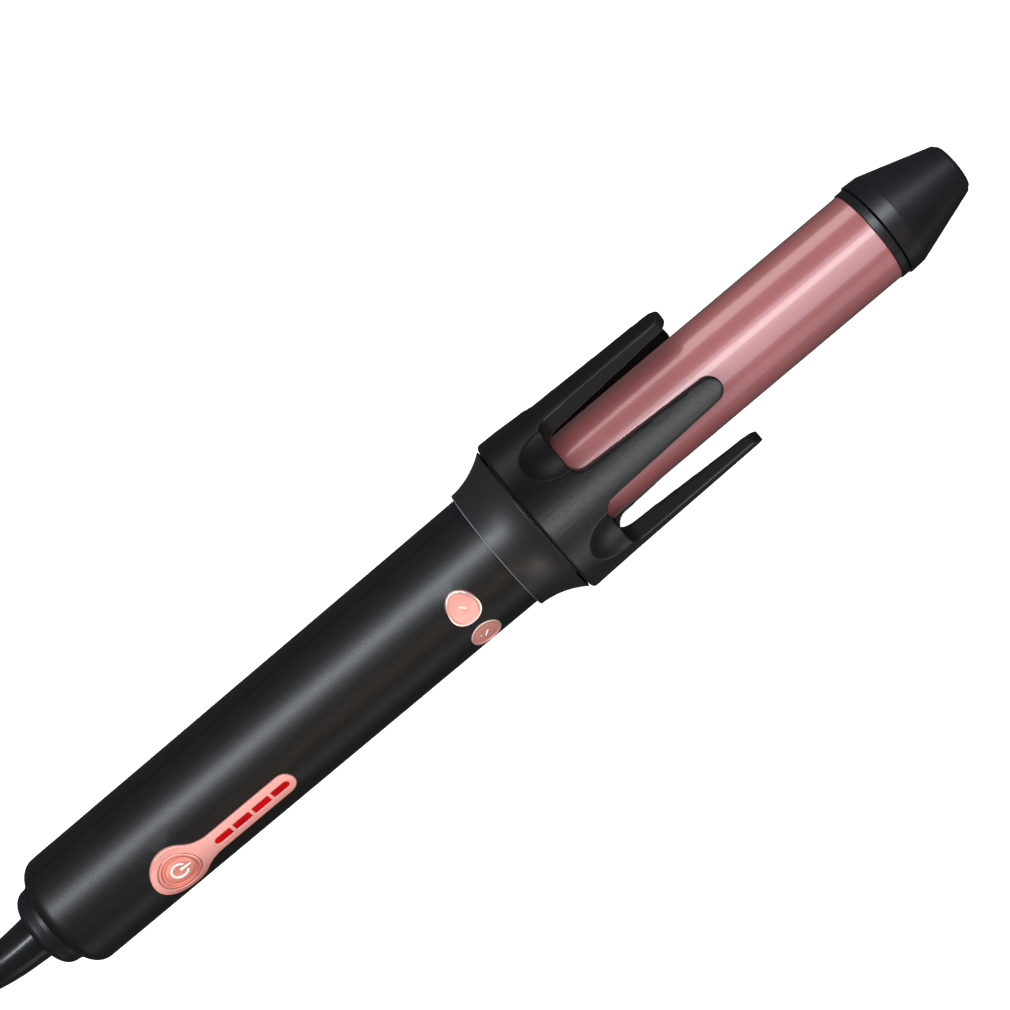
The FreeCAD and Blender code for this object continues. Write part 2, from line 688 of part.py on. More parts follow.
WINDOW_LAST = "window_first + (window_count - 1) * window_pitch"


def light_guide():
    body = block("light_guide", "window_first - 4", f"{WINDOW_LAST} + 4", "-1.8", "1.8", "12.2",
                 "15.1")
    for outline in windows("0"):
        pad(body, "XY_Plane", [outline], "15", "20")
    spin(body, [skin("-140", "-80", "bezel_proud - 0.15")], cut=True)


def switch(name, along, across):
    body = block(name, f"{along} - switch_side / 2", f"{along} + switch_side / 2",
                 f"{across} - switch_side / 2", f"{across} + switch_side / 2", "board_top",
                 "board_top + switch_tall")
    pocket(body, "XY_Plane", [("circle", along, across, "plunger_dia / 2 + 0.05")], "12.1")


def plunger(name, along, across):
    body = new_body(name)
    pad(body, "XY_Plane", [("circle", along, across, "plunger_dia / 2")], "12.9", "plunger_top")


def power_button():
    body = new_body("power_button")
    disc = ("circle", "power_place", "0", "power_dia / 2")
    pad(body, "XY_Plane", [disc], "plunger_top", "20")
    pad(body, "XY_Plane", [disc, ("circle", "power_place", "0", "4.7")], "12.4", "plunger_top")
    spin(body, [skin("-145", "-120", "bezel_proud - 0.1")], cut=True)


def turn_button(name, side):
    body = new_body(name)
    pad(body, "XY_Plane", [egg(side, "0")], "11.3", "20")
    spin(body, [skin("-40", "-20", "turn_proud")], cut=True)
    near, far = f"{side} * (turn_side - 3.3)", f"{side} * (turn_side + 3.3)"
    loops, bottom, top = box("turn_place - 3.4", "turn_place + 3.4", near, far, "11.2", "plunger_top")
    pocket(body, "XY_Plane", loops, bottom, top)


circuit_board()
bezel()
light_guide()
block("indicator_leds", "window_first - 2", f"{WINDOW_LAST} + 2", "-1", "1", "board_top",
      "board_top + 1.2")
block("supply_module", "-118", "-94", "-8", "8", "-6", "board_top - board_thick")
block("capacitor", "-80", "-64", "-6", "6", "-3", "board_top - board_thick")
BUTTONS = (("power", "power_place", "0"), ("left_turn", "turn_place", "turn_side"),
           ("right_turn", "turn_place", "-turn_side"))
for word, along, across in BUTTONS:
    switch(f"{word}_switch", along, across)
    plunger(f"{word}_plunger", along, across)
power_button()
turn_button("left_turn_button", 1)
turn_button("right_turn_button", -1)

# --- leads, cord and plug ----------------------------------------------------------------------------


def route_wire(points):
    """Straight runs joined by arcs that are as large as the runs allow, and the arcs' radii."""
    edges, radii, at = [], [], points[0]
    for before, corner, after in zip(points, points[1:], points[2:]):
        come, go = corner - before, after - corner
        bend = come.getAngle(go)
        trim = 0.45 * min(come.Length, go.Length)
        radii.append(trim / math.tan(bend / 2))
        come.normalize()
        go.normalize()
        start, end = corner - come * trim, corner + go * trim
        inward = (go - come).normalize()
        sink = radii[-1] * (1 / math.cos(bend / 2) - 1)
        edges.append(Part.LineSegment(at, start).toShape())
        edges.append(Part.Arc(start, corner + inward * sink, end).toShape())
        at = end
    edges.append(Part.LineSegment(at, points[-1]).toShape())
    return Part.Wire(edges), radii


def tube(points, first_radius, last_radius):
    """A solid swept along a route, round all the way, from one radius to another."""
    wire, radii = route_wire(points)
    sweep = Part.BRepOffsetAPI.MakePipeShell(wire)
    ends = ((points[0], points[1] - points[0], first_radius),
            (points[-1], points[-1] - points[-2], last_radius))
    for place, along, radius in ends[: 1 if first_radius == last_radius else 2]:
        sweep.add(Part.Wire(Part.Circle(place, along, radius).toShape()))
    sweep.build()
    sweep.makeSolid()
    return sweep.shape(), wire.Length, radii


def solid(name, shape, placement=Placement()):
    """A sub-part whose shape is made here, and its place."""
    feature = doc.addObject("Part::Feature", name)
    feature.Label = name
    feature.Shape = shape
    feature.Placement = placement
    parts[name] = feature


for number, side in ((1, 1.6), (2, -1.6)):
    lead = [Vector(29.95, side, 0), Vector(-27, side, 0), Vector(-34, side, 7.9)]
    solid(f"heater_lead_{number}", tube(lead, 0.7, 0.7)[0], lay)

cord_radius = value("cord_dia / 2")
swivel_face = lay.multVec(Vector(value("swivel_rear"), 0, 0))
relief_route = [
    swivel_face, lay.multVec(Vector(value("swivel_rear") - 13, 0, 0)), Vector(-188.7, 2.0, 14.95),
    Vector(-200.8, 6.2, 12.6),
]
relief_end = (relief_route[-1] - relief_route[-2]).normalize()
cord_route = [
    relief_route[-1], relief_route[-1] + relief_end * 10, Vector(-219.3, 14.5, 6.0),
    Vector(-228.5, 22.2, 3.7),
]
coil_outer = value("coil_inner + (coil_turns - 1) * cord_dia")
coil_base = value("tie_thick")
last_run = cord_route[-1] - cord_route[-2]
entry = math.atan2(last_run.y, last_run.x) - math.pi / 2
coil_centre = Vector(cord_route[-1].x - coil_outer * math.cos(entry),
                     cord_route[-1].y - coil_outer * math.sin(entry), 0)
plug_height = coil_base + value("coil_layers * cord_dia + plug_thick / 2")
# The end of the cord climbs on to the coil over a quarter turn, and the plug lies on top.
TAIL = ((-27.0, 7.2, 15.6), (-27.0, -10.2, 19.1), (-19.8, -22.8, 21.2),
        (-7.2, -30.0, plug_height), (7.2, -30.0, plug_height))
tail_route = [coil_centre + Vector(*spot) for spot in TAIL]
plug_rear = tail_route[-1]


def cord_pieces():
    relief, _, _ = tube(relief_route, value("relief_dia / 2"), value("relief_tip_dia / 2"))
    solid("strain_relief", relief)
    for name, points in (("cord", cord_route), ("cord_tail", tail_route)):
        shape, length, radii = tube(points, cord_radius, cord_radius)
        solid(name, shape)
        share = shape.Volume / (math.pi * cord_radius**2 * length)
        print(name, "length", round(length, 1), "volume share", round(share, 4))
        print(name, "bend radii", [round(r) for r in radii])
    inner = value("coil_inner") - cord_radius
    height = value("coil_layers * cord_dia")
    at = coil_centre + Vector(0, 0, coil_base)
    washer = Part.makeCylinder(coil_outer + cord_radius, height, at)
    solid("cord_coil", washer.cut(Part.makeCylinder(inner, height, at)))
    wide, thick, gap = value("tie_wide"), value("tie_thick"), 0.05
    near = inner - 0.9
    span = coil_outer + cord_radius - near
    corner = coil_centre + Vector(-wide / 2, near - gap - thick, 0)
    strap = Part.makeBox(wide, span + 2 * (gap + thick), height + coil_base + gap + thick, corner)
    inside = corner + Vector(0, thick, coil_base - gap)
    hollow = Part.makeBox(wide, span + 2 * gap, height + 2 * gap, inside)
    solid("cord_tie", strap.cut(hollow))


def plug():
    body = doc.addObject("PartDesign::Body", "plug_body")
    body.Label = "plug_body"
    body.Placement = Placement(plug_rear, Rotation())
    parts["plug_body"] = body
    half = "plug_wide / 2"
    side = [("0", "5.6"), ("plug_long * 0.22", "6.4"), ("plug_long * 0.6", half),
            ("plug_long * 0.88", half), ("plug_long", f"{half} - 3")]
    outline = [(across, f"-({up})") for across, up in side] + list(reversed(side))
    pad(body, "XY_Plane", [outline], "-plug_thick / 2", "plug_thick / 2")
    for number, way in ((1, 1), (2, -1)):
        pin = doc.addObject("PartDesign::Body", f"plug_pin_{number}")
        pin.Label = f"plug_pin_{number}"
        pin.Placement = Placement(plug_rear + Vector(0, way * value("pin_spacing / 2"), 0), Rotation())
        parts[pin.Label] = pin
        pad(pin, "YZ_Plane", [("circle", "0", "0", "pin_dia / 2")], "plug_long", "plug_long + pin_long")


cord_pieces()
plug()

# --- checks and files --------------------------------------------------------------------------------

doc.recompute()
for item in doc.Objects:
    if "Invalid" in item.State or "Error" in item.State:
        raise RuntimeError(f"{item.Name}: {item.State}")
for name, part in parts.items():
    shape = part.Shape
    if shape.isNull() or not shape.isValid() or len(shape.Solids) != 1:
        raise RuntimeError(f"{name} is not one valid solid")
os.makedirs("parts", exist_ok=True)
for name, part in parts.items():
    part.Shape.exportStep(f"parts/{name}.step")
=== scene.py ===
import json
import math

import bmesh
import bpy
from mathutils import Matrix, Vector

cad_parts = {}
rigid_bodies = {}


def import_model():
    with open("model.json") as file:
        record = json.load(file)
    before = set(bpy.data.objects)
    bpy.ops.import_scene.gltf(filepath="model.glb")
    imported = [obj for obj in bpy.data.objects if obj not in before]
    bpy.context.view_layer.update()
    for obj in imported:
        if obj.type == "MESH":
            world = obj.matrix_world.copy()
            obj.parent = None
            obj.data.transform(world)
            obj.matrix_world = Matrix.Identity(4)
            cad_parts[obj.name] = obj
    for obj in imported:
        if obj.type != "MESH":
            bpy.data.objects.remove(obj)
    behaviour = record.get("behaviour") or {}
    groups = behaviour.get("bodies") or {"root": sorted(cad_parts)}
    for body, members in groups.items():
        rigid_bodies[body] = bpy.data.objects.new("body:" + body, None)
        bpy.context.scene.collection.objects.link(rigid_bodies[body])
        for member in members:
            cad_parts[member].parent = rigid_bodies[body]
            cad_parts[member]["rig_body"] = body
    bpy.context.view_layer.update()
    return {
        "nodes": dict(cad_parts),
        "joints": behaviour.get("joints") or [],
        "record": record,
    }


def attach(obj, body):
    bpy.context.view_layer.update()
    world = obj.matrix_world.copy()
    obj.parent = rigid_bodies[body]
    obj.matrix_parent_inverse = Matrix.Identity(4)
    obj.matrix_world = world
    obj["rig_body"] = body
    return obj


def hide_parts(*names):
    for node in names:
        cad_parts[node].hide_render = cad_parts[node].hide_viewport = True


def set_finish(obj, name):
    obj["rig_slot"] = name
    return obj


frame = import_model()

# The tool's own frame, from its joints: X along the tool, Z to the middle of the controls.
# Lengths in this frame are in millimetres.
joints = {joint["name"]: joint for joint in frame["joints"]}
AXIS = Vector(joints["claw_spin"]["axis"]).normalized()
UP = -Vector(joints["power_press"]["axis"]).normalized()
TOOL = Matrix((AXIS, UP.cross(AXIS), UP)).transposed().to_4x4()
TOOL.translation = Vector(joints["claw_spin"]["pos_m"])
TOOL = TOOL @ Matrix.Scale(0.001, 4)


# --- materials -----------------------------------------------------------------------------------


COAT_ROUGH = 0.08
MOTTLE_SCALE = 90
MIDDLE_LOW, MIDDLE_HIGH = 0.3, 0.7
ROUGH_SPREAD = 0.1


def noise_at(tree, scale, detail, stretch=(1, 1, 1)):
    """A noise texture in the piece's own coordinates; scale is in waves per metre."""
    place = tree.nodes.new("ShaderNodeTexCoord")
    shape = tree.nodes.new("ShaderNodeMapping")
    shape.inputs["Scale"].default_value = stretch
    noise = tree.nodes.new("ShaderNodeTexNoise")
    noise.inputs["Scale"].default_value = scale
    noise.inputs["Detail"].default_value = detail
    tree.links.new(place.outputs["Object"], shape.inputs["Vector"])
    tree.links.new(shape.outputs["Vector"], noise.inputs["Vector"])
    return noise.outputs["Fac"]


def spread(tree, value, low, high):
    """The value's middle range stretched to run from low to high."""
    scaled = tree.nodes.new("ShaderNodeMapRange")
    scaled.inputs["From Min"].default_value = MIDDLE_LOW
    scaled.inputs["From Max"].default_value = MIDDLE_HIGH
    scaled.inputs["To Min"].default_value = low
    scaled.inputs["To Max"].default_value = high
    tree.links.new(value, scaled.inputs["Value"])
    return scaled.outputs["Result"]


def finish_of(name, colour, rough, metal=0.0, grain=1500, height=0.00002, mottle=0.12, coat=0.0,
              specular=0.5, stretch=(1, 1, 1), glow=None):
    """A moulded or plated finish: a fine grain, uneven gloss and a slight drift of colour."""
    material = bpy.data.materials.new(name)
    material.use_nodes = True
    tree = material.node_tree
    skin = tree.nodes["Principled BSDF"]
    skin.inputs["Metallic"].default_value = metal
    skin.inputs["Coat Weight"].default_value = coat
    skin.inputs["Coat Roughness"].default_value = COAT_ROUGH
    skin.inputs["Specular IOR Level"].default_value = specular
    tint = tree.nodes.new("ShaderNodeMix")
    tint.data_type = "RGBA"
    tint.inputs["A"].default_value = (*[c * (1 - mottle) for c in colour], 1)
    tint.inputs["B"].default_value = (*[min(1, c * (1 + mottle)) for c in colour], 1)
    tree.links.new(spread(tree, noise_at(tree, MOTTLE_SCALE, 3), 0, 1), tint.inputs["Factor"])
    tree.links.new(tint.outputs["Result"], skin.inputs["Base Color"])
    fine = noise_at(tree, grain, 2, stretch)
    gloss = spread(tree, fine, rough * (1 - ROUGH_SPREAD), rough * (1 + ROUGH_SPREAD))
    tree.links.new(gloss, skin.inputs["Roughness"])
    bump = tree.nodes.new("ShaderNodeBump")
    bump.inputs["Distance"].default_value = height
    bump.inputs["Strength"].default_value = 1.0
    tree.links.new(fine, bump.inputs["Height"])
    tree.links.new(bump.outputs["Normal"], skin.inputs["Normal"])
    if glow:
        skin.inputs["Emission Color"].default_value = (*glow[0], 1)
        skin.inputs["Emission Strength"].default_value = glow[1]
    return material


FINISHES = {
    "grip_plastic": finish_of("grip_plastic", (0.007, 0.0072, 0.0078), 0.40, grain=2600),
    "collar_plastic": finish_of("collar_plastic", (0.015, 0.0153, 0.016), 0.38, grain=2600),
    "claw_plastic": finish_of("claw_plastic", (0.0095, 0.0095, 0.01), 0.40, grain=2200),
    "dark_plastic": finish_of("dark_plastic", (0.009, 0.009, 0.011), 0.4, grain=2600),
    "rose_metal": finish_of("rose_metal", (0.40, 0.122, 0.118), 0.34, metal=0.12, grain=3800,
                            height=0.000008, mottle=0.03, coat=1.0, specular=1.0),
    "rose_trim": finish_of("rose_trim", (0.85, 0.36, 0.31), 0.42, metal=0.25, grain=3800,
                           height=0.000006, mottle=0.05, coat=0.6),
    "rose_gloss": finish_of("rose_gloss", (0.80, 0.24, 0.18), 0.2, metal=0.3, grain=3000,
                            height=0.000004, mottle=0.06, coat=0.8),
    "red_lens": finish_of("red_lens", (0.55, 0.003, 0.005), 0.4, grain=900, mottle=0.6,
                          specular=0.05, glow=((0.8, 0.0, 0.01), 0.12)),
    "inner_plastic": finish_of("inner_plastic", (0.45, 0.42, 0.36), 0.5),
    "steel": finish_of("steel", (0.5, 0.5, 0.51), 0.32, metal=1.0),
    "brass": finish_of("brass", (0.62, 0.42, 0.16), 0.3, metal=1.0),
    "plated_pin": finish_of("plated_pin", (0.6, 0.59, 0.56), 0.22, metal=1.0,
                            stretch=(0.1, 1, 1)),
    "heat_aluminium": finish_of("heat_aluminium", (0.6, 0.6, 0.62), 0.4, metal=1.0),
    "ceramic": finish_of("ceramic", (0.75, 0.72, 0.66), 0.6),
    "lead_cover": finish_of("lead_cover", (0.62, 0.6, 0.56), 0.55),
    "board": finish_of("board", (0.01, 0.09, 0.03), 0.35),
    "module_case": finish_of("module_case", (0.02, 0.02, 0.025), 0.3),
    "cord_cover": finish_of("cord_cover", (0.009, 0.009, 0.01), 0.26, grain=1200, coat=0.15),
    "plug_plastic": finish_of("plug_plastic", (0.012, 0.012, 0.013), 0.45, grain=2600),
    "tie": finish_of("tie", (0.02, 0.02, 0.022), 0.5, grain=1800),
}
# A lighter pink for the rims of the buttons: a painted highlight where the rims catch the light.
painted_highlight_rim = finish_of("painted_highlight_rim", (0.93, 0.68, 0.63), 0.24, metal=0.6, grain=3800,
                       height=0.000004, mottle=0.04)
# White print for the marks, with a painted glow that keeps them bright whatever the lamps do.
mark_white_painted_glow = finish_of("mark_white_painted_glow", (0.95, 0.88, 0.84), 0.35, grain=3800, height=0.000004,
                       mottle=0.03, glow=((1.0, 0.9, 0.85), 0.12))
# A light grey for the thin lip at the collar's rear edge: a painted highlight along that edge.
lip_painted_highlight = finish_of("lip_painted_highlight", (0.16, 0.17, 0.18), 0.3, grain=3800, height=0.000004)

for entry in frame["record"]["subparts"]:
    mesh = frame["nodes"][entry["node"]].data
    mesh.materials.clear()
    mesh.materials.append(FINISHES[entry["material_slot"]])


# --- shapes --------------------------------------------------------------------------------------


def add_piece(name, mesh, body, slot, replaced=(), crease=30):
    """A finished mesh in the row frame as a piece that rides on a body."""
    mesh.shade_smooth()
    mesh.set_sharp_from_angle(angle=math.radians(crease))
    piece = bpy.data.objects.new(name, mesh)
    bpy.context.scene.collection.objects.link(piece)
    if not mesh.materials:
        mesh.materials.append(FINISHES[slot])
    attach(piece, body)
    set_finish(piece, slot)
    if replaced:
        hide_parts(*replaced)
    return piece


def eased(corners, steps=5):
    """A closed profile of (along, radius, round) corners with each corner rounded off."""
    points = []
    count = len(corners)
    for i, (along, radius, *round_off) in enumerate(corners):
        here = Vector((along, radius))
        if not round_off:
            points.append(here)
            continue
        before = Vector(corners[i - 1][:2]) - here
        after = Vector(corners[(i + 1) % count][:2]) - here
        room = min(before.length, after.length) / 2
        start = here + before.normalized() * min(round_off[0], room)
        end = here + after.normalized() * min(round_off[0], room)
        for k in range(steps + 1):
            t = k / steps
            points.append(start * (1 - t) ** 2 + here * 2 * t * (1 - t) + end * t**2)
    return points


def bowed(start, end, radius, steps=16):
    """Points from start to end on an arc of that radius that bows towards the axis if the
    radius is positive."""
    a, b = Vector(start), Vector(end)
    chord = b - a
    half = chord.length / 2
    drop = radius - math.copysign(math.sqrt(radius**2 - half**2), radius)
    across = Vector((chord.y, -chord.x)).normalized()
    points = []
    for k in range(steps + 1):
        t = 2 * k / steps - 1
        sag = math.copysign(math.sqrt(radius**2 - (t * half) ** 2), radius) - (radius - drop)
        points.append(tuple(a + chord * (t + 1) / 2 + across * sag))
    return points


def turned(name, profile, body, slot, replaced=(), segments=192, crease=40):
    """A piece turned about the tool's axis from a closed profile of (along, radius) points."""
    work = bmesh.new()
    rings = []
    for k in range(segments):
        angle = 2 * math.pi * k / segments
        rings.append([work.verts.new(TOOL @ Vector((x, r * math.sin(angle), r * math.cos(angle))))
                      for x, r in profile])
    count = len(profile)
    for k in range(segments):
        here, there = rings[k], rings[(k + 1) % segments]
        for i in range(count):
            j = (i + 1) % count
            work.faces.new((here[i], here[j], there[j], there[i]))
    bmesh.ops.remove_doubles(work, verts=work.verts, dist=1e-7)
    bmesh.ops.recalc_face_normals(work, faces=work.faces)
    mesh = bpy.data.meshes.new(name)
    work.to_mesh(mesh)
    work.free()
    return add_piece(name, mesh, body, slot, replaced, crease)


def evaluated(piece):
    """The mesh that a piece's modifiers make, and the piece is gone."""
    bpy.context.view_layer.update()
    shown = piece.evaluated_get(bpy.context.evaluated_depsgraph_get())
    mesh = bpy.data.meshes.new_from_object(shown)
    bpy.data.objects.remove(piece)
    return mesh


def remade(mesh, voxel, smoothing, factor=0.5):
    """The mesh with even faces of the voxel's size and softened edges."""
    piece = bpy.data.objects.new("work", mesh)
    bpy.context.scene.collection.objects.link(piece)
    remesh = piece.modifiers.new("even", "REMESH")
    remesh.mode = "VOXEL"
    remesh.voxel_size = voxel
    soft = piece.modifiers.new("soft", "SMOOTH")
    soft.factor = factor
    soft.iterations = smoothing
    return evaluated(piece)


GRIP_REAR, GRIP_SLOPE = 17.35, 0.55 / 155.85
GRIP_SLOPE_FROM = -167.35


def wrapped(x, y, height):
    """A point that lies height over the grip's surface, y to the side of its middle line."""
    radius = GRIP_REAR + (x - GRIP_SLOPE_FROM) * GRIP_SLOPE + height
    return TOOL @ Vector((x, y, math.sqrt(max(radius**2 - y**2, 0))))


# --- claw, barrel and tip ------------------------------------------------------------------------

CLAW_VOXEL = 0.00034
BARREL_REAR, BARREL_FRONT, BARREL_RADIUS, BARREL_INNER = 9.5, 118.1, 14.0, 13.0
BAND_FRONT, BAND_RADIUS, BAND_INNER = 120.6, 14.35, 10.0
CAP_REAR, CAP_SHOULDER, CAP_FRONT, CAP_TIP = 120.9, 125.6, 147.4, 148.1

claw_mesh = remade(frame["nodes"]["claw"].data.copy(), CLAW_VOXEL, 7)
claw_mesh.materials.clear()
add_piece("claw_skin", claw_mesh, "claw", "claw_plastic", ("claw",), crease=60)

turned("barrel_sleeve",
       eased([(BARREL_REAR, BARREL_INNER), (BARREL_REAR, BARREL_RADIUS, 0.4),
              (BARREL_FRONT, BARREL_RADIUS, 0.3), (BARREL_FRONT, BARREL_INNER)]),
       "grip", "rose_metal", ("barrel",), segments=256)
turned("tip_band",
       eased([(BARREL_FRONT, BAND_INNER), (BARREL_FRONT, BAND_RADIUS, 0.3),
              (BAND_FRONT, BAND_RADIUS, 0.35), (BAND_FRONT, BAND_INNER)]),
       "grip", "dark_plastic", ("tip_ring",))
cap_front = bowed((CAP_FRONT, 6.9), (CAP_TIP, 0.0), -34, 10)
turned("tip_shell",
       eased([(CAP_REAR, 10.05), (CAP_REAR, 14.85, 0.4), (CAP_SHOULDER, 14.6, 0.25),
              (146.9, 7.75, 0.9)])
       + cap_front + [(146.3, 0.0), (146.3, 5.2), (127.1, 12.2), (124.5, 12.2), (124.5, 10.05)],
       "grip", "dark_plastic", ("tip_cap",), crease=25)

# --- collar --------------------------------------------------------------------------------------

COLLAR_REAR = -13.5
LIP_REAR, LIP_FRONT, LIP_INNER = -13.62, -13.32, 18.3

sweep = bowed((-13.2, 19.25), (-0.7, 23.75), 24.0)
turned("collar_skin",
       eased([(COLLAR_REAR, 17.95), (COLLAR_REAR, 19.15, 0.25)]) + sweep
       + eased([(-0.5, 23.9, 0.25), (-0.5, 22.3), (-3.0, 20.6), (-9.4, 18.6), (-9.4, 13.0),
                (-11.4, 13.0), (-11.4, 17.95)]),
       "grip", "collar_plastic", ("collar",), crease=35)

# A thin ring at the collar's rear edge, in light grey: the painted highlight of the rounded edge.
lip = turned("collar_lip",
             [(LIP_REAR, LIP_INNER), (LIP_REAR, 19.22), (LIP_FRONT, 19.32), (LIP_FRONT, LIP_INNER)],
             "grip", "collar_plastic")
lip.data.materials[0] = lip_painted_highlight

# --- controls ------------------------------------------------------------------------------------

POWER, POWER_HOLE, POWER_RADIUS = -134.2, 6.25, 6.1
TURN, TURN_ASIDE, TURN_LENGTH, TURN_WIDTH, TURN_TAPER = -29.5, 6.06, 4.65, 4.95, 0.10
BEZEL_END, BEZEL_THICK, BEZEL_ROUND, BEZEL_VOXEL, BEZEL_SUNK = -93.9, 1.85, 0.22, 0.13, 0.325
MARK_HEIGHT, RING_RADIUS, RING_RISE = -0.36, 2.35, 0.017
WINDOWS = [-118.9 + 6.73 * i for i in range(4)]


def loop_curve(shapes, thick, round_off):
    """A flat plate with holes and rounded edges, drawn as closed outlines."""
    curve = bpy.data.curves.new("plate", "CURVE")
    curve.dimensions = "2D"
    curve.fill_mode = "BOTH"
    curve.extrude = thick / 2 - round_off
    curve.bevel_depth = round_off
    curve.bevel_resolution = 3
    curve.offset = -round_off
    for shape in shapes:
        spline = curve.splines.new("POLY")
        spline.points.add(len(shape) - 1)
        for point, (x, y) in zip(spline.points, shape):
            point.co = (x, y, 0, 1)
        spline.use_cyclic_u = True
    piece = bpy.data.objects.new("plate", curve)
    bpy.context.scene.collection.objects.link(piece)
    return evaluated(piece)


def arc_points(cx, cy, radius, start, end, steps):
    """Points on an arc, with its angles in degrees."""
    spots = []
    for k in range(steps + 1):
        angle = math.radians(start + (end - start) * k / steps)
        spots.append((cx + radius * math.cos(angle), cy + radius * math.sin(angle)))
    return spots


def spoon_outline():
    """The bezel: a disc that runs through a hollow neck into a round-ended bar."""
    disc, bar, neck, hand = 8.3, 3.6, 11.0, 49.2
    middle = POWER + 12.62
    end = BEZEL_END - bar
    lower = arc_points(middle, -(bar + neck), neck, 180 - hand, 90, 12)
    upper = arc_points(middle, bar + neck, neck, 270, 180 + hand, 12)
    return (arc_points(POWER, 0, disc, hand, 360 - hand, 72)[:-1] + lower
            + arc_points(end, 0, bar, -90, 90, 24) + upper[:-1])


def window_outline(middle, first, last):
    """A slot for light. The outer ends of the first and the last one are round."""
    half, side = 2.8, 1.15
    rear = (arc_points(middle - half + side, 0, side, 90, 270, 12) if first
            else [(middle - half, side), (middle - half, -side)])
    front = (arc_points(middle + half - side, 0, side, -90, 90, 12) if last
             else [(middle + half, -side), (middle + half, side)])
    return rear + front


bezel_loops = [spoon_outline(), arc_points(POWER, 0, POWER_HOLE, 0, 355, 71)]
bezel_loops += [window_outline(x, x == WINDOWS[0], x == WINDOWS[-1]) for x in WINDOWS]
bezel_mesh = remade(loop_curve(bezel_loops, BEZEL_THICK, BEZEL_ROUND), BEZEL_VOXEL, 3)
for vertex in bezel_mesh.vertices:
    vertex.co = wrapped(vertex.co.x, vertex.co.y, vertex.co.z - BEZEL_SUNK)
add_piece("bezel_skin", bezel_mesh, "grip", "rose_trim", ("bezel",), crease=60)


def dished(name, centre, outline, rings, body, slot, replaced, rim):
    """A button with a dished face: rings of (share of the outline, height over the grip).
    The rings inside the shares in rim get the lighter pink of a painted highlight along the edge."""
    work = bmesh.new()
    steps = 96
    loops = []
    for share, height in rings:
        loop = []
        for k in range(steps):
            x, y = outline(2 * math.pi * k / steps)
            loop.append(work.verts.new(wrapped(centre[0] + x * share, centre[1] + y * share,
                                               height)))
        loops.append(loop)
    for i in range(len(loops) - 1):
        # Rim faces take the second material, the painted highlight.
        painted_highlight = rim[0] <= (rings[i][0] + rings[i + 1][0]) / 2 <= rim[1]
        for k in range(steps):
            j = (k + 1) % steps
            face = work.faces.new((loops[i][k], loops[i][j], loops[i + 1][j], loops[i + 1][k]))
            face.material_index = int(painted_highlight)
    work.faces.new(loops[0])
    work.faces.new(loops[-1])
    bmesh.ops.recalc_face_normals(work, faces=work.faces)
    mesh = bpy.data.meshes.new(name)
    work.to_mesh(mesh)
    work.free()
    mesh.materials.append(FINISHES[slot])
    mesh.materials.append(painted_highlight_rim)
    return add_piece(name, mesh, body, slot, replaced, crease=38)


def fall(start, end, steps=8):
    """Rings that run smoothly from one (share, height) to another."""
    rings = []
    for k in range(1, steps + 1):
        t = k / steps
        ease = t * t * (3 - 2 * t)
        rings.append((start[0] + (end[0] - start[0]) * t, start[1] + (end[1] - start[1]) * ease))
    return rings


power_rings = [(1.0, -3.6), (1.0, 0.3), (0.985, 0.42), (0.96, 0.46), (0.90, 0.44)]
power_rings += fall((0.90, 0.44), (0.76, -0.1)) + fall((0.76, -0.1), (0.72, -0.12), 2)
power_rings += fall((0.72, -0.12), (0.66, 0.0), 4) + fall((0.66, 0.0), (0.03, -0.38), 12)
dished("power_cap", (POWER, 0), lambda a: (POWER_RADIUS * math.cos(a), POWER_RADIUS * math.sin(a)),
       power_rings, "power_button", "rose_gloss", ("power_button",), (0.93, 0.99))


def egg(side):
    """A turn button's outline round its centre, narrower on its outer side."""
    def outline(angle):
        along, across = math.cos(angle), math.sin(angle) * side
        return (TURN_LENGTH * along * (1 - TURN_TAPER * across), side * TURN_WIDTH * across)
    return outline


turn_rings = [(1.0, -3.2), (1.0, 0.12), (0.985, 0.24), (0.95, 0.28), (0.90, 0.24)]
turn_rings += fall((0.90, 0.24), (0.78, -0.12), 6) + fall((0.78, -0.12), (0.03, -0.42), 12)
for word, side in (("left", 1), ("right", -1)):
    dished(f"{word}_turn_cap", (TURN, side * TURN_ASIDE), egg(side), turn_rings,
           f"{word}_turn_button", "rose_trim", (f"{word}_turn_button",), (0.9, 0.995))


def bead(name, spots, width, body):
    """A raised painted line through points given as (along, aside, height over the grip)."""
    curve = bpy.data.curves.new(name, "CURVE")
    curve.dimensions = "3D"
    curve.bevel_depth = width / 2000
    curve.bevel_resolution = 3
    curve.use_fill_caps = True
    spline = curve.splines.new("POLY")
    spline.points.add(len(spots) - 1)
    for point, spot in zip(spline.points, spots):
        point.co = (*wrapped(*spot), 1)
    piece = bpy.data.objects.new(name, curve)
    bpy.context.scene.collection.objects.link(piece)
    mesh = evaluated(piece)
    mesh.materials.append(mark_white_painted_glow)
    return add_piece(name, mesh, body, "rose_trim")


power_ring = [(x, y, MARK_HEIGHT + RING_RISE * RING_RADIUS)
              for x, y in arc_points(POWER, 0, RING_RADIUS, 32, 328, 40)]
bead("power_mark_ring", power_ring, 0.8, "power_button")
bead("power_mark_bar",
     [(POWER + x, 0, MARK_HEIGHT + 0.02 * x) for x in (0.3, 1.2, 2.2, 3.1, 3.7)], 0.8,
     "power_button")
for word, side in (("left", 1), ("right", -1)):
    middle = side * TURN_ASIDE
    bead(f"{word}_mark_bar", [(-30.2 + 0.7 * k, middle + side * (0.9 - 0.75 * k), MARK_HEIGHT)
                              for k in range(3)], 0.42, f"{word}_turn_button")
    bead(f"{word}_mark_dot", [(-31.2, middle - side * 0.5, -0.34),
                              (-31.1, middle - side * 0.55, -0.34)], 0.5, f"{word}_turn_button")

# --- cord ----------------------------------------------------------------------------------------

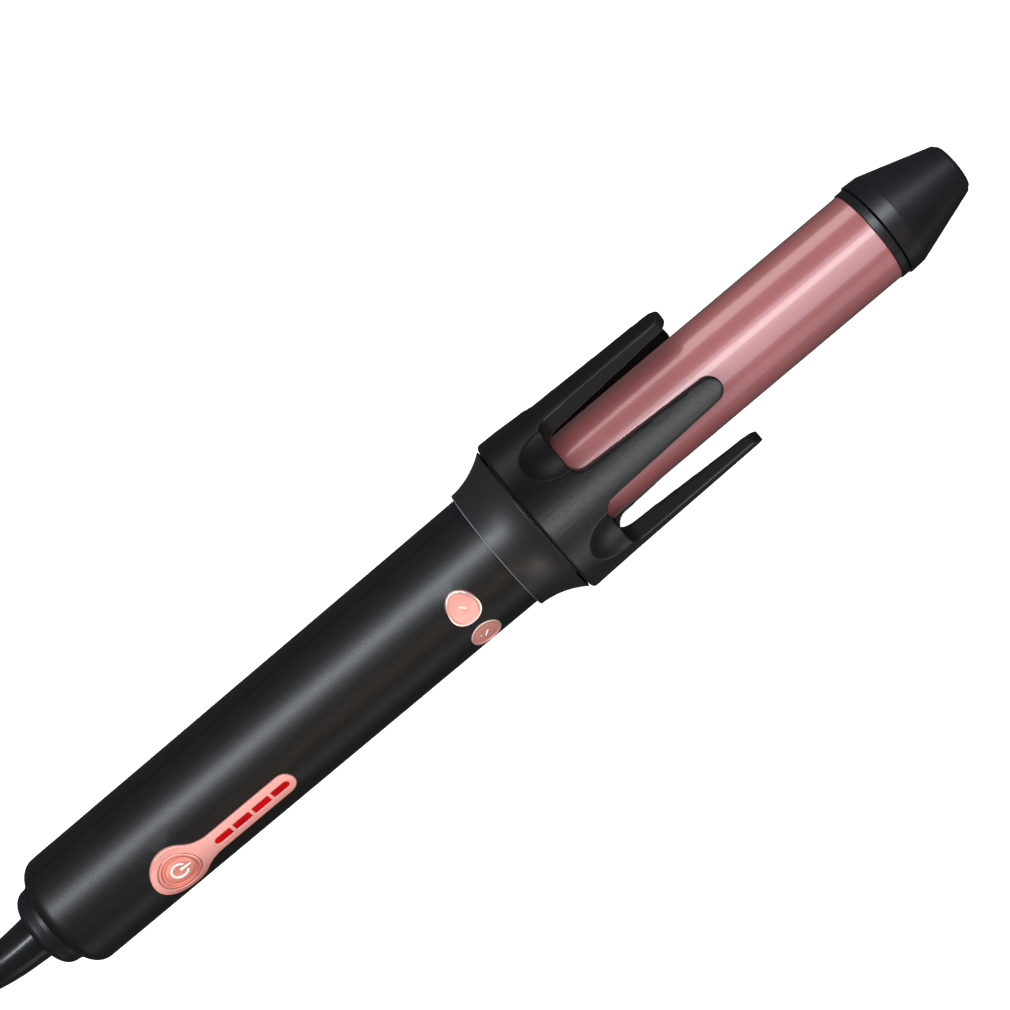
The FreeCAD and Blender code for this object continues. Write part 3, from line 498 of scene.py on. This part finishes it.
MM = 0.001
RELIEF_ROUTE = [(-162.847, 0.0, 16.84), (-175.833, 0.0, 16.245), (-188.7, 2.0, 14.95)]
CORD_ROUTE = [(-200.8, 6.2, 12.6), (-210.1, 9.4, 10.8), (-219.3, 14.5, 6.0), (-228.5, 22.2, 3.7)]
COIL_CENTRE = (-253.531, -7.707)
TAIL_ROUTE = [(-27.0, 7.2, 15.6), (-27.0, -10.2, 19.1), (-19.8, -22.8, 21.2),
              (-7.2, -30.0, 25.45), (7.2, -30.0, 25.45)]
COIL_RADII = (39, 33, 27, 27, 33, 39, 39, 33, 27)
COIL_HEIGHTS = (3.6, 9.6, 15.6)
TURN_STEPS = 24
COIL_START = 50.07
LAST_STEP = 199
SHIFT_FROM = 0.8
CORD_WIDTH = 6.0
PLUG_VOXEL = 0.0004


def coil_route():
    """The points of a neat coil of three layers: inward, outward and inward again."""
    start = math.radians(COIL_START)
    spots = []
    for step in range(1, LAST_STEP + 1):
        whole, part = divmod(step / TURN_STEPS, 1)
        number = int(whole)
        share = max(0, (part - SHIFT_FROM) / (1 - SHIFT_FROM))
        radius = COIL_RADII[number]
        height = COIL_HEIGHTS[number // 3]
        if share:
            radius += (COIL_RADII[number + 1] - radius) * share
        if share and number in (2, 5):
            beside = CORD_WIDTH * (1 - share)
            height += math.sqrt(CORD_WIDTH**2 - beside**2)
        angle = start + 2 * math.pi * step / TURN_STEPS
        spots.append((COIL_CENTRE[0] + radius * math.cos(angle),
                      COIL_CENTRE[1] + radius * math.sin(angle), height))
    return spots


tail_points = [(COIL_CENTRE[0] + x, COIL_CENTRE[1] + y, z) for x, y, z in TAIL_ROUTE]
cord_points = RELIEF_ROUTE + CORD_ROUTE + coil_route() + tail_points
cord_curve = bpy.data.curves.new("mains_cord", "CURVE")
cord_curve.dimensions = "3D"
cord_curve.resolution_u = 8
cord_curve.bevel_depth = CORD_WIDTH / 2 * MM
cord_curve.bevel_resolution = 6
cord_curve.use_fill_caps = True
cord_spline = cord_curve.splines.new("NURBS")
cord_spline.points.add(len(cord_points) - 1)
for point, spot in zip(cord_spline.points, cord_points):
    point.co = (*[c * MM for c in spot], 1)
cord_spline.order_u = 3
cord_spline.use_endpoint_u = True
mains_cord = bpy.data.objects.new("mains_cord", cord_curve)
bpy.context.scene.collection.objects.link(mains_cord)
cord_curve.materials.append(FINISHES["cord_cover"])
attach(mains_cord, "swivel")
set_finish(mains_cord, "cord_cover")
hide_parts("cord", "cord_coil", "cord_tail")
plug_mesh = remade(frame["nodes"]["plug_body"].data.copy(), PLUG_VOXEL, 24)
plug_mesh.materials.clear()
plug_skin = add_piece("plug_skin", plug_mesh, "swivel", "plug_plastic", ("plug_body",), crease=60)

# --- floor, lights and camera --------------------------------------------------------------------

FLOOR = 15
AXIS_HEIGHT = 0.025

floor_mesh = bpy.data.meshes.new("floor")
floor_mesh.from_pydata([(-FLOOR, -FLOOR, 0), (FLOOR, -FLOOR, 0), (FLOOR, FLOOR, 0),
                        (-FLOOR, FLOOR, 0)], [], [(0, 1, 2, 3)])
floor = bpy.data.objects.new("floor", floor_mesh)
bpy.context.scene.collection.objects.link(floor)
floor_mesh.materials.append(finish_of("floor_pale", (0.9, 0.9, 0.9), 0.8, grain=60, mottle=0.004,
                                      height=0.00001, specular=0.1, glow=((1.0, 1.0, 1.0), 0.5)))
floor.visible_glossy = False
floor.visible_diffuse = False

shiny = bpy.data.collections.new("lit_tool")
clawed = bpy.data.collections.new("lit_claw")
sleeve = bpy.data.collections.new("lit_barrel")
neck = bpy.data.collections.new("lit_collar")
controls = bpy.data.collections.new("lit_controls")
ground = bpy.data.collections.new("lit_floor")
ground.objects.link(floor)
for piece in bpy.context.scene.objects:
    if piece.type not in ("MESH", "CURVE") or piece is floor:
        continue
    if piece.get("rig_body") == "claw":
        clawed.objects.link(piece)
    elif piece.name == "barrel_sleeve":
        sleeve.objects.link(piece)
    else:
        shiny.objects.link(piece)
    if piece.name == "collar_skin":
        neck.objects.link(piece)
    if piece.get("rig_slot") in ("rose_trim", "rose_gloss"):
        controls.objects.link(piece)


def soft_box(name, lean, size, distance, power, colour, receivers, along=0.0):
    """A soft box over the tool that lights only the pieces in receivers. lean is the angle it is
    moved from straight up, to the side of the controls if positive, and along is the angle it is
    moved towards the tip."""
    light = bpy.data.lights.new(name, "AREA")
    light.shape = "RECTANGLE"
    light.size, light.size_y = size
    light.energy = power
    light.color = colour
    lamp = bpy.data.objects.new(name, light)
    bpy.context.scene.collection.objects.link(lamp)
    angle = math.radians(lean)
    aim = Vector((0, 0, AXIS_HEIGHT))
    away = Vector((math.sin(math.radians(along)), -math.sin(angle), math.cos(angle)))
    lamp.location = aim + away * distance
    back = away.normalized()
    right = (Vector((1, 0, 0)) - back * back.x).normalized()
    lamp.matrix_world = Matrix((right, back.cross(right), back)).transposed().to_4x4()
    lamp.matrix_world.translation = aim + away * distance
    lamp.light_linking.receiver_collection = receivers


WHITE, COOL, WARM, LAVENDER = (1.0, 1.0, 1.0), (0.90, 0.96, 1.0), (1.0, 0.62, 0.38), (0.88, 0.90, 1.0)
soft_box("key_tool", -18, (1.2, 0.13), 0.7, 8.4, COOL, shiny)
soft_box("rim_tool", 88, (1.2, 0.30), 0.7, 0.7, (1.0, 0.99, 0.97), shiny)
soft_box("warm_side", 44, (0.6, 0.10), 0.7, 0.5, WARM, shiny)
soft_box("key_claw", 20, (0.8, 0.09), 0.7, 3.0, (0.96, 0.98, 1.0), clawed)
soft_box("rim_claw_right", 76, (0.8, 0.30), 0.7, 1.3, WHITE, clawed)
soft_box("rim_claw_left", -76, (0.8, 0.30), 0.7, 0.9, WHITE, clawed)
soft_box("barrel_broad", 10, (1.2, 0.90), 0.7, 6.6, LAVENDER, sleeve)
soft_box("barrel_strip", -5, (1.2, 0.18), 0.7, 2.6, (0.92, 1.0, 1.0), sleeve)
soft_box("barrel_left", -75, (1.2, 0.36), 0.7, 2.8, (1.0, 0.98, 0.96), sleeve)
soft_box("barrel_right", 75, (1.2, 0.36), 0.7, 0.8, (1.0, 0.98, 0.98), sleeve)
soft_box("collar_cool", -32, (0.26, 0.26), 0.7, 0.9, COOL, neck, along=-53)
soft_box("collar_warm", 67, (0.26, 0.26), 0.7, 0.8, (1.0, 0.84, 0.72), neck, along=-42)
soft_box("controls_side", 60, (0.8, 0.4), 0.7, 1.7, (1.0, 0.98, 0.97), controls)
soft_box("floor_wash", 0, (3.0, 3.0), 2.5, 175.0, WHITE, ground)

world = bpy.data.worlds.new("studio")
bpy.context.scene.world = world
world.use_nodes = True
world.node_tree.nodes["Background"].inputs["Color"].default_value = (0.95, 0.97, 1.0, 1)
world.node_tree.nodes["Background"].inputs["Strength"].default_value = 0.07

camera_data = bpy.data.cameras.new("camera")
camera = bpy.data.objects.new("camera", camera_data)
bpy.context.scene.collection.objects.link(camera)
FRAME_PIXELS = 1010
CAMERA_PIXELS = 2100
SCALE = 0.0002733
CAMERA_X, CAMERA_Y = 0.0111, 0.0079
camera_data.angle = 2 * math.atan(FRAME_PIXELS / 2 / CAMERA_PIXELS)
camera_data.clip_start = 0.01
IMAGE_RIGHT = Vector((0.7647, -0.6444, 0.0))
IMAGE_UP = Vector((0.6444, 0.7647, 0.0))
view = Matrix((IMAGE_RIGHT, IMAGE_UP, Vector((0, 0, 1)))).transposed().to_4x4()
view.translation = Vector((CAMERA_X, CAMERA_Y, AXIS_HEIGHT + CAMERA_PIXELS * SCALE))
camera.matrix_world = view
bpy.context.scene.camera = camera
bpy.context.scene.view_settings.view_transform = "Standard"
bpy.context.scene.view_settings.look = "None"
